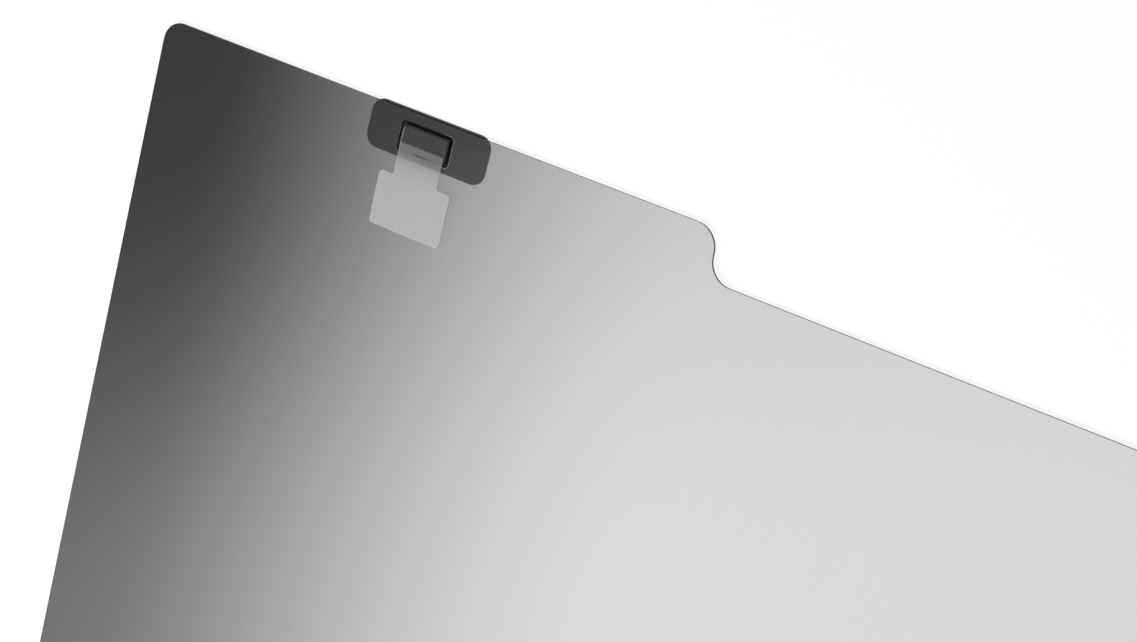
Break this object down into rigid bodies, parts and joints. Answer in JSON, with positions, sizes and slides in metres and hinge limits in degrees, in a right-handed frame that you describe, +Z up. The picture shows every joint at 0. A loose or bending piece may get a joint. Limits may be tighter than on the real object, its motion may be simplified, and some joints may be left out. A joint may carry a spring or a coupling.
{
  "type": "laptop privacy filter",
  "caption": "Thin tinted louvre film for a laptop screen, with rounded corners, a camera recess in its top edge and frosted stick-on tabs on black backing pads that come through it.",
  "frame": {"origin": "middle of the footprint, on the surface that the filter lies on", "axes": "+X along the width, +Y towards the top edge with the camera recess, +Z up, out of the tab side"},
  "size_m": [0.31, 0.1748, 0.0014],
  "materials": {
    "louvre_film": "see-through grey louvre film with a fine matt surface",
    "pad": "matt black sheet",
    "tab": "frosted clear polyester strip"
  },
  "bodies": {
    "root": {"privacy_film": "louvre_film", "left_pad": "pad", "right_pad": "pad", "left_tab": "tab", "right_tab": "tab"}
  },
  "joints": []
}
